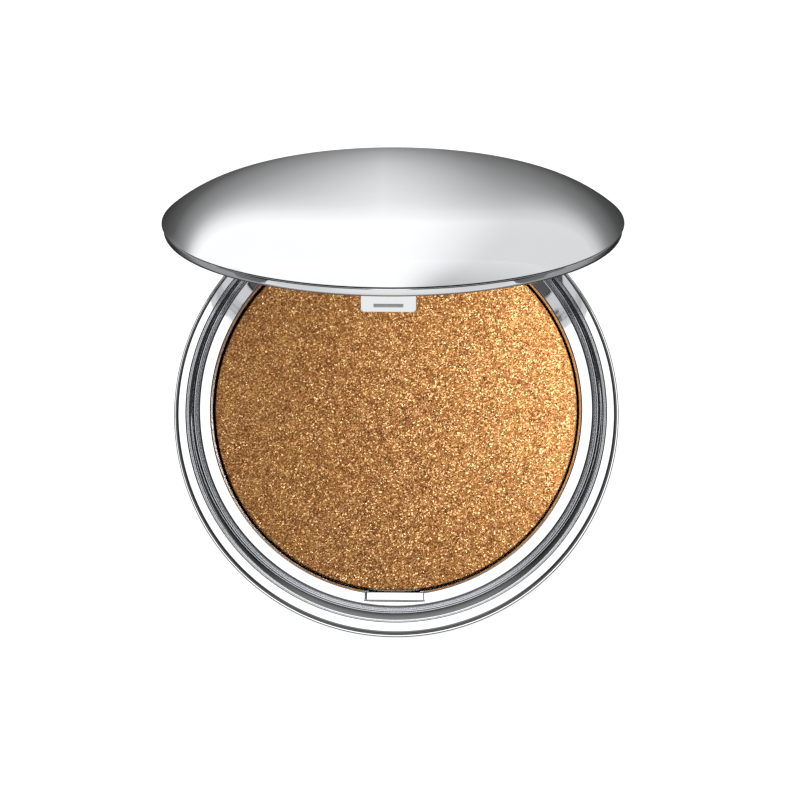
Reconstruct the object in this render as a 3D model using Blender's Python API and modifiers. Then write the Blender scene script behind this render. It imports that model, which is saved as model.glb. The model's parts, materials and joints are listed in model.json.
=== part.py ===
"""A round pressed-powder compact with a domed, hinged lid, standing open.

Metres, +Z up. The origin is the centre of the underside, the hinge is at +Y and the latch at -Y.
The lid's pieces are modelled closed and turn open on an empty that lies on the hinge axis.
"""

from math import cos, hypot, pi, radians, sin

import bmesh
import bpy
from mathutils import Matrix, Vector

MM = 0.001
STEPS = 48  # facets round a turned piece

# The closed case
BODY_RADIUS = 37.5 * MM
BASE_HEIGHT = 9.4 * MM  # floor to parting plane
CLOSED_GAP = 0.25 * MM  # between the two rims when the lid is down
OPEN_ANGLE = radians(68)  # how far the lid stands open
GAP = 0.3 * MM  # between pieces that seat on each other
TAPE_GAP = 0.15 * MM  # above and below an adhesive layer
RIM_STEP = 0.3 * MM  # how far each rim flange stands inside its outer shell

# Base shell
SHELL_WALL = 1.1 * MM
LAND_HEIGHT = 1.4 * MM  # straight wall under the rim
FOOT_RADIUS = 26.5 * MM
FOOT_HEIGHT = 0.8 * MM

# Base frame: the bright rings round the powder
FLANGE_THICKNESS = 1.2 * MM
FRAME_WALL = 1.0 * MM
GROOVE_WALL = 0.8 * MM
PAN_CLEARANCE = 0.4 * MM
LIP_WIDTH = 0.7 * MM  # bevel from the well up to the raised ring
LIP_DROP = 0.5 * MM
RING_WIDTH = 1.9 * MM
RING_RISE = 1.2 * MM  # above the parting plane
GROOVE_WIDTH = 1.85 * MM
GROOVE_DEPTH = 1.2 * MM
SPIGOT_CLEARANCE = 0.55 * MM
WELL_OFFSET = 0.65 * MM  # the well lies this much nearer the hinge, to make room for the latch

# Pan and powder
PAN_RADIUS = 30.4 * MM
PAN_WALL = 0.35 * MM
POWDER_DEPTH = 3.2 * MM
POWDER_RISE = 0.5 * MM  # above the parting plane
POWDER_PROUD = 0.3 * MM  # above the pan's edge
ADHESIVE_RADIUS = 20.0 * MM
ADHESIVE_THICKNESS = 0.3 * MM

# Label
LABEL_RADIUS = 20.0 * MM
LABEL_THICKNESS = 0.2 * MM

# Lid
LID_WALL = 1.0 * MM
LID_EDGE_WALL = 1.3 * MM
CROWN_HEIGHT = 5.9 * MM  # dome above its own edge
CROWN_POWER = 5.5  # flat in the middle, then falling away to the edge
BAND_HEIGHT = 1.5 * MM  # the lid frame's rim band
LID_CLEARANCE = 0.55 * MM  # round the raised ring when closed
CEILING_RISE = 1.6 * MM  # mirror face above the lid's rim
BACKING_THICKNESS = 0.8 * MM
HAUNCH_WIDTH = 2.3 * MM  # where the backing plate starts to slope to the rim
LEDGE_WIDTH = 0.6 * MM  # band under the cover's edge
MIRROR_SETBACK = 1.6 * MM  # mirror edge inside the pan's edge, which leaves the tongue its root
MIRROR_THICKNESS = 1.0 * MM
MIRROR_CLEARANCE = 0.3 * MM
MIRROR_TAPE_THICKNESS = 0.2 * MM
MIRROR_TAPE_SETBACK = 3.0 * MM

# Latch
TONGUE_WIDTH = 8.75 * MM
TONGUE_THICKNESS = 0.85 * MM
TONGUE_DROP = 4.3 * MM  # tip below the lid's rim
TONGUE_ROOT = 1.2 * MM  # pushed into the lid frame
TONGUE_CLEARANCE = 0.4 * MM  # from the notch's outer wall
TONGUE_CORNER = 0.6 * MM
ROOT_CLEARANCE = 0.2 * MM
NOTCH_DEPTH = 1.15 * MM  # beyond the well's edge
NOTCH_SIDE = 0.5 * MM  # notch wider than the tongue, each side
NOTCH_FLOOR = 0.3 * MM  # under the tongue's tip
RIDGE_LENGTH = 4.7 * MM
RIDGE_RADIUS = 0.25 * MM
RIDGE_HEIGHT = 1.1 * MM  # above the tongue's tip

# Hinge
HINGE_OUTSET = 0.5 * MM  # axis outside the body's edge
HINGE_DROP = 4.0 * MM  # axis below the lid's rim
KNUCKLE_RADIUS = 1.9 * MM
KNUCKLE_WIDTH = 6.0 * MM
EAR_WIDTH = 4.0 * MM
ARM_THICKNESS = 1.8 * MM
ARM_STEP = 0.12 * MM  # arm inside the knuckle's ends and below the rim band's top
ARM_ROUND = 0.4 * MM
HINGE_GAP = 0.3 * MM
PIN_RADIUS = 0.7 * MM
PIN_CLEARANCE = 0.1 * MM
PIN_RECESS = 0.2 * MM

# Heights of the base, from the parting plane down
PARTING = BASE_HEIGHT
RING_TOP = PARTING + RING_RISE
POWDER_TOP = PARTING + POWDER_RISE
POWDER_BOTTOM = POWDER_TOP - POWDER_DEPTH
PAN_FLOOR_TOP = POWDER_BOTTOM - GAP
PAN_BOTTOM = PAN_FLOOR_TOP - PAN_WALL
ADHESIVE_TOP = PAN_BOTTOM - TAPE_GAP
WELL_FLOOR = ADHESIVE_TOP - ADHESIVE_THICKNESS - TAPE_GAP
GROOVE_FLOOR = PARTING - GROOVE_DEPTH
SHELL_TOP = PARTING - FLANGE_THICKNESS - GAP

# Radii of the rims, from the pan out
WELL_RADIUS = PAN_RADIUS + PAN_CLEARANCE
RING_INNER = WELL_RADIUS + LIP_WIDTH
RING_OUTER = RING_INNER + RING_WIDTH
GROOVE_OUTER = RING_OUTER + GROOVE_WIDTH
FLANGE_RADIUS = BODY_RADIUS - RIM_STEP
SPIGOT_RADIUS = BODY_RADIUS - SHELL_WALL - SPIGOT_CLEARANCE

# Heights and radii of the closed lid
LID_RIM = PARTING + CLOSED_GAP
CROWN_EDGE = LID_RIM + BAND_HEIGHT + GAP
CEILING = LID_RIM + CEILING_RISE
MIRROR_TOP = CEILING + MIRROR_THICKNESS
BACKING = MIRROR_TOP + TAPE_GAP + MIRROR_TAPE_THICKNESS + TAPE_GAP
LID_INNER = RING_OUTER + WELL_OFFSET + LID_CLEARANCE
MIRROR_RADIUS = PAN_RADIUS - MIRROR_SETBACK

# Latch and hinge places
NOTCH_WALL = -(WELL_RADIUS - WELL_OFFSET + NOTCH_DEPTH)
TONGUE_FACE = NOTCH_WALL + TONGUE_CLEARANCE
TONGUE_TIP = LID_RIM - TONGUE_DROP
HINGE = Vector((0, BODY_RADIUS + HINGE_OUTSET, LID_RIM - HINGE_DROP))
EAR_START = KNUCKLE_WIDTH / 2 + HINGE_GAP
EAR_END = EAR_START + EAR_WIDTH

CHROME = (0.83, 0.84, 0.85)
SATIN = (0.78, 0.79, 0.80)
BRONZE = (0.50, 0.25, 0.09)
GLASS_SILVER = (0.92, 0.93, 0.94)
STEEL = (0.60, 0.60, 0.61)
TINPLATE = (0.72, 0.72, 0.70)
GLUE = (0.80, 0.77, 0.68)
WHITE = (0.90, 0.90, 0.88)


def clear_scene():
    for obj in list(bpy.data.objects):
        bpy.data.objects.remove(obj)


def new_collection(name):
    group = bpy.data.collections.new(name)
    bpy.context.scene.collection.children.link(group)
    return group


def material(name, colour, roughness, metallic):
    made = bpy.data.materials.new(name)
    made.use_nodes = True
    shader = made.node_tree.nodes["Principled BSDF"]
    shader.inputs["Base Color"].default_value = (*colour, 1)
    shader.inputs["Roughness"].default_value = roughness
    shader.inputs["Metallic"].default_value = metallic
    return made


def rounded(corners, segments=2):
    """Points of an outline whose corners (radius, height, fillet) are turned into short arcs."""
    points = []
    for index, (r, z, fillet) in enumerate(corners):
        here = Vector((r, z))
        if not fillet:
            points.append(here)
            continue
        before = Vector(corners[index - 1][:2]) - here
        after = Vector(corners[(index + 1) % len(corners)][:2]) - here
        half = before.angle(after) / 2
        reach = fillet * cos(half) / sin(half)
        start = before.normalized() * reach
        middle = (before.normalized() + after.normalized()).normalized() * fillet / sin(half)
        for step in range(segments + 1):
            turn = (pi - 2 * half) * step / segments
            side = 1 if before.cross(after) > 0 else -1
            arm = Matrix.Rotation(side * -turn, 2) @ (start - middle)
            points.append(here + middle + arm)
    return points


def turned(name, outline, back=0.0):
    """A profile of (radius, height) points, from axis to axis, spun about a vertical set back in +Y."""
    mesh = bpy.data.meshes.new(name)
    bm = bmesh.new()
    verts = [bm.verts.new((r, 0, z)) for r, z in outline]
    for first, second in zip(verts, verts[1:]):
        bm.edges.new((first, second))
    bm.to_mesh(mesh)
    bm.free()
    obj = bpy.data.objects.new(name, mesh)
    PARTS.objects.link(obj)
    obj.location.y = back
    screw = obj.modifiers.new("Spin", "SCREW")
    screw.axis = "Z"
    screw.steps = screw.render_steps = STEPS
    screw.use_merge_vertices = True
    screw.merge_threshold = 0.00001
    return obj


def block(name, low, high, round_edges=0.0):
    """A box between two corners."""
    mesh = bpy.data.meshes.new(name)
    bm = bmesh.new()
    low, high = Vector(low), Vector(high)
    size = Matrix.Diagonal((*(high - low), 1))
    bmesh.ops.create_cube(bm, size=1, matrix=Matrix.Translation((low + high) / 2) @ size)
    if round_edges:
        bmesh.ops.bevel(
            bm, geom=bm.edges[:], offset=round_edges, segments=2, profile=0.5, affect="EDGES"
        )
    bm.to_mesh(mesh)
    bm.free()
    obj = bpy.data.objects.new(name, mesh)
    PARTS.objects.link(obj)
    return obj


def rod(name, radius, start, end, place, sides=24):
    """A cylinder along X, from start to end, whose axis passes through place."""
    mesh = bpy.data.meshes.new(name)
    bm = bmesh.new()
    middle = Vector(((start + end) / 2, place.y, place.z))
    bmesh.ops.create_cone(
        bm,
        cap_ends=True,
        segments=sides,
        radius1=radius,
        radius2=radius,
        depth=end - start,
        matrix=Matrix.Translation(middle) @ Matrix.Rotation(pi / 2, 4, "Y"),
    )
    bm.to_mesh(mesh)
    bm.free()
    obj = bpy.data.objects.new(name, mesh)
    PARTS.objects.link(obj)
    return obj


def combine(target, tool, operation):
    """Adds a Boolean and puts its tool away with the cutters."""
    PARTS.objects.unlink(tool)
    CUTTERS.objects.link(tool)
    tool.hide_render = True
    tool.display_type = "WIRE"
    change = target.modifiers.new(tool.name, "BOOLEAN")
    change.operation = operation
    change.solver = "EXACT"
    change.object = tool


def settle(obj):
    """Applies the modifiers."""
    bpy.context.view_layer.update()
    evaluated = obj.evaluated_get(bpy.context.evaluated_depsgraph_get())
    mesh = bpy.data.meshes.new_from_object(evaluated)
    obj.modifiers.clear()
    obj.data = mesh
    mesh.name = obj.name


def finish(obj, finish_material):
    """Applies the modifiers, gives the piece its material and shades its round faces smooth."""
    settle(obj)
    obj.data.materials.clear()
    obj.data.materials.append(finish_material)
    obj.data.shade_smooth()
    obj.data.set_sharp_from_angle(angle=radians(30))
    return obj


def crown(radius, height, points):
    """The dome's curve, from its middle out to its edge, above the height of that edge."""
    curve = []
    for step in range(points + 1):
        share = sin(pi / 2 * step / points)
        curve.append((radius * share, CROWN_EDGE + height * (1 - share**CROWN_POWER)))
    return curve


def shoulder(radius, bottom, points):
    """The base's quarter-ellipse side, from the wall down and in to the foot's radius."""
    top = SHELL_TOP - LAND_HEIGHT
    curve = []
    for step in range(points + 1):
        turn = pi / 2 * step / points
        across = FOOT_RADIUS + (radius - FOOT_RADIUS) * cos(turn)
        curve.append((across, top - (top - bottom) * sin(turn)))
    return curve


def base_shell():
    """The outer bowl: a straight land under the rim, a round shoulder, a foot ring and two ears."""
    inner = BODY_RADIUS - SHELL_WALL
    recess = LABEL_THICKNESS + GAP
    outline = [(0, FOOT_HEIGHT + SHELL_WALL)]
    outline += reversed(shoulder(inner, FOOT_HEIGHT + SHELL_WALL, 6))
    outline += [(inner, SHELL_TOP), (BODY_RADIUS, SHELL_TOP)]
    outline += shoulder(BODY_RADIUS, FOOT_HEIGHT, 7)
    outline += [(FOOT_RADIUS, 0), (LABEL_RADIUS + GAP, 0), (LABEL_RADIUS + GAP, recess), (0, recess)]
    shell = turned("base_shell", outline)
    ear_reach = KNUCKLE_RADIUS + HINGE_GAP
    for side, start, end in (("left", -EAR_END, -EAR_START), ("right", EAR_START, EAR_END)):
        combine(shell, rod(f"{side}_ear", KNUCKLE_RADIUS, start, end, HINGE), "UNION")
    knuckle_room = block(
        "knuckle_room",
        (-EAR_START, HINGE.y - ear_reach, HINGE.z - ear_reach),
        (EAR_START, HINGE.y + ear_reach, SHELL_TOP + GAP),
    )
    combine(shell, knuckle_room, "DIFFERENCE")
    bore = rod("ear_bore", PIN_RADIUS + PIN_CLEARANCE, -EAR_END - GAP, EAR_END + GAP, HINGE)
    combine(shell, bore, "DIFFERENCE")
    return shell


def set_back_well(obj):
    """Moves the turned rings towards the hinge: the well fully, the flange's edge not at all."""
    for vertex in obj.data.vertices:
        out = hypot(vertex.co.x, vertex.co.y)
        share = (FLANGE_RADIUS - out) / (FLANGE_RADIUS - RING_OUTER)
        vertex.co.y += WELL_OFFSET * min(max(share, 0), 1)


def base_frame():
    """The flange, groove, raised ring and well in one moulding, with the latch's notch."""
    floor_bottom = WELL_FLOOR - FRAME_WALL
    under_groove = GROOVE_FLOOR - GROOVE_WALL
    corners = [
        (0, WELL_FLOOR, 0),
        (WELL_RADIUS, WELL_FLOOR, 0),
        (WELL_RADIUS, RING_TOP - LIP_DROP, 0),
        (RING_INNER, RING_TOP, 0.2 * MM),
        (RING_OUTER, RING_TOP, 0.5 * MM),
        (RING_OUTER, GROOVE_FLOOR, 0.2 * MM),
        (GROOVE_OUTER, GROOVE_FLOOR, 0.2 * MM),
        (GROOVE_OUTER, PARTING, 0.3 * MM),
        (FLANGE_RADIUS, PARTING, 0.5 * MM),
        (FLANGE_RADIUS, PARTING - FLANGE_THICKNESS, 0),
        (SPIGOT_RADIUS, PARTING - FLANGE_THICKNESS, 0),
        (SPIGOT_RADIUS, under_groove, 0),
        (WELL_RADIUS + FRAME_WALL, under_groove, 0),
        (WELL_RADIUS + FRAME_WALL, floor_bottom, 0),
        (0, floor_bottom, 0),
    ]
    frame = turned("base_frame", rounded(corners))
    settle(frame)
    set_back_well(frame)
    half = TONGUE_WIDTH / 2 + NOTCH_SIDE
    notch_floor = TONGUE_TIP - NOTCH_FLOOR
    inside = -(WELL_RADIUS - WELL_OFFSET - GAP)
    housing = block(
        "latch_housing",
        (-half - FRAME_WALL, NOTCH_WALL - FRAME_WALL, notch_floor - FRAME_WALL),
        (half + FRAME_WALL, -(WELL_RADIUS - WELL_OFFSET) - GAP, GROOVE_FLOOR - GAP),
    )
    combine(frame, housing, "UNION")
    notch = block(
        "latch_notch",
        (-half, NOTCH_WALL, notch_floor),
        (half, inside, RING_TOP + GAP),
    )
    combine(frame, notch, "DIFFERENCE")
    return frame


def powder_pan():
    """The shallow metal dish that the powder is pressed into."""
    edge = POWDER_TOP - POWDER_PROUD
    inner = PAN_RADIUS - PAN_WALL
    corners = [
        (0, PAN_FLOOR_TOP, 0),
        (inner, PAN_FLOOR_TOP, 0),
        (inner, edge, 0),
        (PAN_RADIUS, edge, 0),
        (PAN_RADIUS, PAN_BOTTOM, 0.3 * MM),
        (0, PAN_BOTTOM, 0),
    ]
    return turned("powder_pan", rounded(corners), back=WELL_OFFSET)


def pressed_powder():
    radius = PAN_RADIUS - PAN_WALL - GAP
    corners = [
        (0, POWDER_TOP, 0),
        (radius, POWDER_TOP, 0.25 * MM),
        (radius, POWDER_BOTTOM, 0),
        (0, POWDER_BOTTOM, 0),
    ]
    return turned("pressed_powder", rounded(corners), back=WELL_OFFSET)


def disc(name, radius, top, thickness, back=0.0, fillet=0.0):
    corners = [(0, top, 0), (radius, top, fillet), (radius, top - thickness, fillet)]
    corners.append((0, top - thickness, 0))
    return turned(name, rounded(corners), back=back)


def lid_shell():
    """The domed outer cover, open below."""
    outer = crown(BODY_RADIUS, CROWN_HEIGHT, 10)
    inner = crown(BODY_RADIUS - LID_EDGE_WALL, CROWN_HEIGHT - LID_WALL, 9)
    return turned("lid_shell", outer + inner[::-1])


def lid_frame():
    """The rim band, the bay over the raised ring, the mirror's seat and the middle hinge knuckle."""
    seat = MIRROR_RADIUS + MIRROR_CLEARANCE
    plate = BACKING + BACKING_THICKNESS
    cover_radius = BODY_RADIUS - LID_EDGE_WALL
    band_top = LID_RIM + BAND_HEIGHT

    def under_cover(radius):
        room = (CROWN_HEIGHT - LID_WALL) * (1 - (radius / cover_radius) ** CROWN_POWER)
        return CROWN_EDGE + room - GAP

    haunch = LID_INNER - HAUNCH_WIDTH
    corners = [
        (0, plate, 0),
        (haunch, min(plate, under_cover(haunch)), 0),
        (LID_INNER, min(plate, under_cover(LID_INNER)), 0),
        (cover_radius - LEDGE_WIDTH, band_top, 0),
        (FLANGE_RADIUS, band_top, 0.3 * MM),
        (FLANGE_RADIUS, LID_RIM, 0.7 * MM),
        (LID_INNER, LID_RIM, 0.3 * MM),
        (LID_INNER, CEILING, 0.3 * MM),
        (seat, CEILING, 0),
        (seat, BACKING, 0),
        (0, BACKING, 0),
    ]
    frame = turned("lid_frame", rounded(corners))
    half = KNUCKLE_WIDTH / 2
    front = BODY_RADIUS + CLOSED_GAP
    back = front + ARM_THICKNESS
    side = half - ARM_STEP
    top = band_top - ARM_STEP
    arm = block("hinge_arm", (-side, front, HINGE.z), (side, back, top), ARM_ROUND)
    tie_side = side - ARM_STEP
    tie_low = (-tie_side, LID_INNER + GAP, LID_RIM + GAP)
    tie = block("hinge_tie", tie_low, (tie_side, back - GAP, top - ARM_STEP))
    combine(arm, tie, "UNION")
    combine(arm, rod("middle_knuckle", KNUCKLE_RADIUS, -half, half, HINGE), "UNION")
    combine(frame, arm, "UNION")
    bore = rod("knuckle_bore", PIN_RADIUS + PIN_CLEARANCE, -half - GAP, half + GAP, HINGE)
    combine(frame, bore, "DIFFERENCE")
    socket = block(
        "tongue_socket",
        (-TONGUE_WIDTH / 2 - ROOT_CLEARANCE, TONGUE_FACE - ROOT_CLEARANCE, CEILING - GAP),
        (
            TONGUE_WIDTH / 2 + ROOT_CLEARANCE,
            TONGUE_FACE + TONGUE_THICKNESS + ROOT_CLEARANCE,
            CEILING + TONGUE_ROOT + ROOT_CLEARANCE,
        ),
    )
    combine(frame, socket, "DIFFERENCE")
    return frame


def latch_tongue():
    """A flat tongue with round lower corners and a snap ridge across its outer face."""
    half = TONGUE_WIDTH / 2
    inner_face = TONGUE_FACE + TONGUE_THICKNESS
    root = CEILING + TONGUE_ROOT
    tongue = block("latch_tongue", (-half, TONGUE_FACE, TONGUE_TIP), (half, inner_face, root))
    bm = bmesh.new()
    bm.from_mesh(tongue.data)
    lower = [
        edge
        for edge in bm.edges
        if all(abs(vert.co.z - TONGUE_TIP) < 0.01 * MM for vert in edge.verts)
        and abs(edge.verts[0].co.x - edge.verts[1].co.x) < 0.01 * MM
    ]
    bmesh.ops.bevel(
        bm, geom=lower, offset=TONGUE_CORNER, segments=3, profile=0.5, affect="EDGES"
    )
    bm.to_mesh(tongue.data)
    bm.free()
    place = Vector((0, TONGUE_FACE, TONGUE_TIP + RIDGE_HEIGHT))
    ridge = rod("snap_ridge", RIDGE_RADIUS, -RIDGE_LENGTH / 2, RIDGE_LENGTH / 2, place, sides=12)
    combine(tongue, ridge, "UNION")
    return tongue


def hinge_pin():
    end = EAR_END - PIN_RECESS
    return rod("hinge_pin", PIN_RADIUS, -end, end, HINGE)


def hang_on_hinge(pieces):
    """Parents the lid's pieces to an empty on the hinge axis and swings it open."""
    pivot = bpy.data.objects.new("lid_pivot", None)
    PARTS.objects.link(pivot)
    pivot.location = HINGE
    for piece in pieces:
        piece.parent = pivot
        piece.location = piece.location - HINGE
    pivot.rotation_euler.x = -OPEN_ANGLE


def build():
    chrome = material("chrome_plated_abs", CHROME, 0.08, 1.0)
    satin = material("satin_chrome", SATIN, 0.25, 1.0)
    finish(base_shell(), chrome)
    finish(base_frame(), chrome)
    finish(powder_pan(), material("tinplate", TINPLATE, 0.35, 1.0))
    adhesive = disc("pan_adhesive", ADHESIVE_RADIUS, ADHESIVE_TOP, ADHESIVE_THICKNESS, WELL_OFFSET)
    finish(adhesive, material("hot_melt_glue", GLUE, 0.6, 0.0))
    finish(pressed_powder(), material("bronze_powder", BRONZE, 0.6, 0.3))
    label = disc("base_label", LABEL_RADIUS, LABEL_THICKNESS, LABEL_THICKNESS)
    finish(label, material("blank_label", WHITE, 0.5, 0.0))
    finish(hinge_pin(), material("steel_pin", STEEL, 0.3, 1.0))
    mirror = disc("mirror_glass", MIRROR_RADIUS, MIRROR_TOP, MIRROR_THICKNESS, fillet=0.1 * MM)
    tape_top = BACKING - TAPE_GAP
    tape = disc("mirror_tape", MIRROR_RADIUS - MIRROR_TAPE_SETBACK, tape_top, MIRROR_TAPE_THICKNESS)
    hang_on_hinge(
        [
            finish(lid_shell(), chrome),
            finish(lid_frame(), chrome),
            finish(mirror, material("silvered_glass", GLASS_SILVER, 0.02, 1.0)),
            finish(tape, material("mirror_tape", GLUE, 0.6, 0.0)),
            finish(latch_tongue(), satin),
        ]
    )


clear_scene()
PARTS = new_collection("powder_compact")
CUTTERS = new_collection("cutters")
build()
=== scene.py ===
"""The looks of an open powder compact: a bright plated case, bronze pressed powder and a soft white studio.

Metres, +Z up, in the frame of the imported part: the hinge is at +Y and the latch at -Y. The lid's
pieces are shaped closed and then swung open about the hinge.
"""

import json
from math import cos, hypot, pi, radians, sin

import bmesh
import bpy
from mathutils import Matrix, Vector, noise

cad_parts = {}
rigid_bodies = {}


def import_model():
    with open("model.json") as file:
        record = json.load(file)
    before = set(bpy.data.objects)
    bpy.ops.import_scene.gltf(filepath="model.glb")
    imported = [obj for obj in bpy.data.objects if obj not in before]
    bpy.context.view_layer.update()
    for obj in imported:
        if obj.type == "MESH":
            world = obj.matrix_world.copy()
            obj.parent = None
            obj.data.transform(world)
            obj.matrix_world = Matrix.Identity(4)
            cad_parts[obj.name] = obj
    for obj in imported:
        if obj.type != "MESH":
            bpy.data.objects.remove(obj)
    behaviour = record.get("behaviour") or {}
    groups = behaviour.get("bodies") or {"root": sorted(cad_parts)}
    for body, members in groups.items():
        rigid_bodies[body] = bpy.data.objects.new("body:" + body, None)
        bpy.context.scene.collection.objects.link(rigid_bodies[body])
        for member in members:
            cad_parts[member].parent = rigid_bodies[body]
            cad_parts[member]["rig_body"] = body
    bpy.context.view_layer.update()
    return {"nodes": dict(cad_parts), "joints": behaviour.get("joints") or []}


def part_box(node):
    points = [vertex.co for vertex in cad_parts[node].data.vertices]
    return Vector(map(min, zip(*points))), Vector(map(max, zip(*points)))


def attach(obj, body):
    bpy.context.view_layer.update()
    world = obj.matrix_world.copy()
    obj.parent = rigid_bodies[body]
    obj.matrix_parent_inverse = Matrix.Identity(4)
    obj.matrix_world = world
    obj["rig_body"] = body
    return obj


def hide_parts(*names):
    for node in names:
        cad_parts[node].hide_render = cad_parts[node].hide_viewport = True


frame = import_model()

bl_info = {
    "name": "Powder Compact",
    "version": (1, 0, 0),
    "blender": (4, 5, 0),
    "location": "3D View > Sidebar > Compact",
    "description": "Builds the visible pieces, finishes and studio of a round powder compact",
    "category": "Object",
}

MM = 0.001
PLAIN_STEPS = 192  # facets round the pan, mirror and label
POWDER_STEPS = 480

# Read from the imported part
CASE_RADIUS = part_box("base_shell")[1].x
FLANGE_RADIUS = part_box("base_frame")[1].x
RING_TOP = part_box("base_frame")[1].z
CAKE_LOW, CAKE_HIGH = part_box("pressed_powder")
WELL_OFFSET = (CAKE_LOW.y + CAKE_HIGH.y) / 2
PAN_LOW, PAN_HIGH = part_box("powder_pan")
LABEL_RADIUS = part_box("base_label")[1].x
LABEL_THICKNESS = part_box("base_label")[1].z
MIRROR_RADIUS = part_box("mirror_glass")[1].x
TONGUE_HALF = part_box("latch_tongue")[1].x
PIN_LOW, PIN_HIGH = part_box("hinge_pin")
HINGE = Vector(frame["joints"][0]["pos_m"])
OPEN_ANGLE = -radians(frame["joints"][0]["range_deg"][0])
OPENED = Matrix.Translation(HINGE) @ Matrix.Rotation(-OPEN_ANGLE, 4, "X") @ Matrix.Translation(-HINGE)

# Base heights and radii
RING_RISE = 1.2 * MM
PARTING = RING_TOP - RING_RISE
FLANGE_THICKNESS = 1.2 * MM
SEAT_GAP = 0.3 * MM
SHELL_TOP = PARTING - FLANGE_THICKNESS - SEAT_GAP
SHELL_WALL = 1.1 * MM
LAND_HEIGHT = 1.4 * MM
FOOT_RADIUS = 26.5 * MM
FOOT_HEIGHT = 0.8 * MM
WELL_RADIUS = PAN_HIGH.x + 0.4 * MM
WELL_FLOOR = PAN_LOW.z - 0.6 * MM
WELL_CORNER = 0.42 * MM
LIP_WIDTH = 0.4 * MM
LIP_DROP = 0.5 * MM
RING_INNER = WELL_RADIUS + 0.7 * MM
RING_OUTER = RING_INNER + 1.9 * MM
GROOVE_OUTER = RING_OUTER + 1.85 * MM
GROOVE_FLOOR = PARTING - 1.2 * MM
SPIGOT_RADIUS = CASE_RADIUS - SHELL_WALL - 0.55 * MM
FRAME_WALL = 1.0 * MM

# Lid heights and radii, closed
LID_RIM = PARTING + 0.25 * MM
BAND_TOP = LID_RIM + 1.5 * MM
CROWN_EDGE = BAND_TOP + SEAT_GAP
CEILING = LID_RIM + 1.6 * MM
MIRROR_THICKNESS = 1.0 * MM
BACKING = CEILING + MIRROR_THICKNESS + 0.5 * MM
PLATE_TOP = BACKING + 0.8 * MM
COVER_WALL = 1.0 * MM
COVER_INNER = CASE_RADIUS - 1.3 * MM
LID_INNER = RING_OUTER + WELL_OFFSET + 0.55 * MM
MIRROR_SEAT = MIRROR_RADIUS + 0.3 * MM

# Latch and hinge
NOTCH_WALL = -(WELL_RADIUS - WELL_OFFSET + 1.15 * MM)
NOTCH_HALF = TONGUE_HALF + 0.5 * MM
TONGUE_FACE = NOTCH_WALL + 0.4 * MM
TONGUE_THICKNESS = 0.85 * MM
TONGUE_TIP = LID_RIM - 4.3 * MM
TONGUE_ROOT = CEILING + 1.2 * MM
TONGUE_CORNER = 0.6 * MM
ROOT_CLEARANCE = 0.2 * MM
RIDGE_LINE = TONGUE_TIP + 1.1 * MM
NOTCH_FLOOR = TONGUE_TIP - 0.3 * MM
KNUCKLE_RADIUS = 1.9 * MM
KNUCKLE_HALF = 3.0 * MM
EAR_START = KNUCKLE_HALF + 0.3 * MM
EAR_END = EAR_START + 4.0 * MM
PIN_BORE = (PIN_HIGH.z - PIN_LOW.z) / 2 + 0.1 * MM


def linear(code):
    """An sRGB hex colour as linear red, green and blue."""
    channels = [int(code[at : at + 2], 16) / 255 for at in (0, 2, 4)]
    return tuple(c / 12.92 if c <= 0.04045 else ((c + 0.055) / 1.055) ** 2.4 for c in channels)


# ---- properties


def length(name, description, millimetres):
    return bpy.props.FloatProperty(
        name=name,
        description=description,
        default=millimetres * MM,
        min=0.0,
        precision=5,
        subtype="DISTANCE",
        unit="LENGTH",
    )


def tint(name, description, code):
    return bpy.props.FloatVectorProperty(
        name=name,
        description=description,
        default=linear(code),
        min=0.0,
        max=1.0,
        subtype="COLOR",
    )


def watts(name, description, power):
    return bpy.props.FloatProperty(
        name=name, description=description, default=power, min=0.0, subtype="POWER", unit="POWER"
    )


class CompactShape(bpy.types.PropertyGroup):
    steps: bpy.props.IntProperty(
        name="Steps", description="Facets round a turned piece", default=256, min=48, max=512
    )
    crown_height: length("Crown height", "Dome above its own edge", 5.9)
    crown_power: bpy.props.FloatProperty(
        name="Crown power", description="Higher is flatter in the middle", default=5.5, min=2.0
    )
    cover_edge: length("Cover edge", "Rounding of the dome's lower edge", 0.22)
    ring_round: length("Ring rounding", "Outer edge of the raised ring", 0.5)
    groove_sweep: length("Groove sweep", "Hollow that leads from the raised ring into the groove", 1.2)
    groove_fall: length("Groove fall", "Groove floor, lower at its outer side", 0.55)
    flange_round: length("Flange rounding", "Outer edge of the base's bright band", 0.6)
    band_round: length("Band rounding", "Lower edge of the lid's rim band", 0.7)
    tongue_round: length("Tongue rounding", "Long edges of the latch tongue", 0.12)
    ridge_length: length("Snap ridge length", "Ridge across the latch tongue", 4.7)
    ridge_height: length("Snap ridge height", "How far the snap ridge stands out", 0.3)


class CompactPowder(bpy.types.PropertyGroup):
    overhang: length("Overhang", "Powder pressed over the pan's edge", 0.64)
    grain: length("Grain", "Spacing of the shimmer grains", 0.18)
    grain_height: length("Grain height", "Relief of the grains", 0.01)
    press_wave: length("Pressing wave", "Slow unevenness of the pressed face", 0.05)
    dark: tint("Dark grain", "Shaded grains", "743A08")
    middle: tint("Middle grain", "Most of the powder", "B46A20")
    light: tint("Light grain", "Grains that face the light", "E8A850")
    spark: tint("Spark", "The brightest mica flakes", "FACB80")


class CompactFinish(bpy.types.PropertyGroup):
    chrome: tint("Chrome", "Plated case", "E9EAEC")
    satin: tint("Satin", "Latch tongue", "EEEFF0")
    silver: tint("Silver", "Mirror", "F2F5F4")
    pan: tint("Pan", "Stamped aluminium pan", "C9C9C6")
    steel: tint("Steel", "Hinge pin", "B9BABD")
    glue: tint("Glue", "Hot-melt spot", "E6DFC8")
    film: tint("Film", "Mirror tape", "DAD9D2")
    paper: tint("Paper", "Underside label", "F1F0EB")


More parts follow.
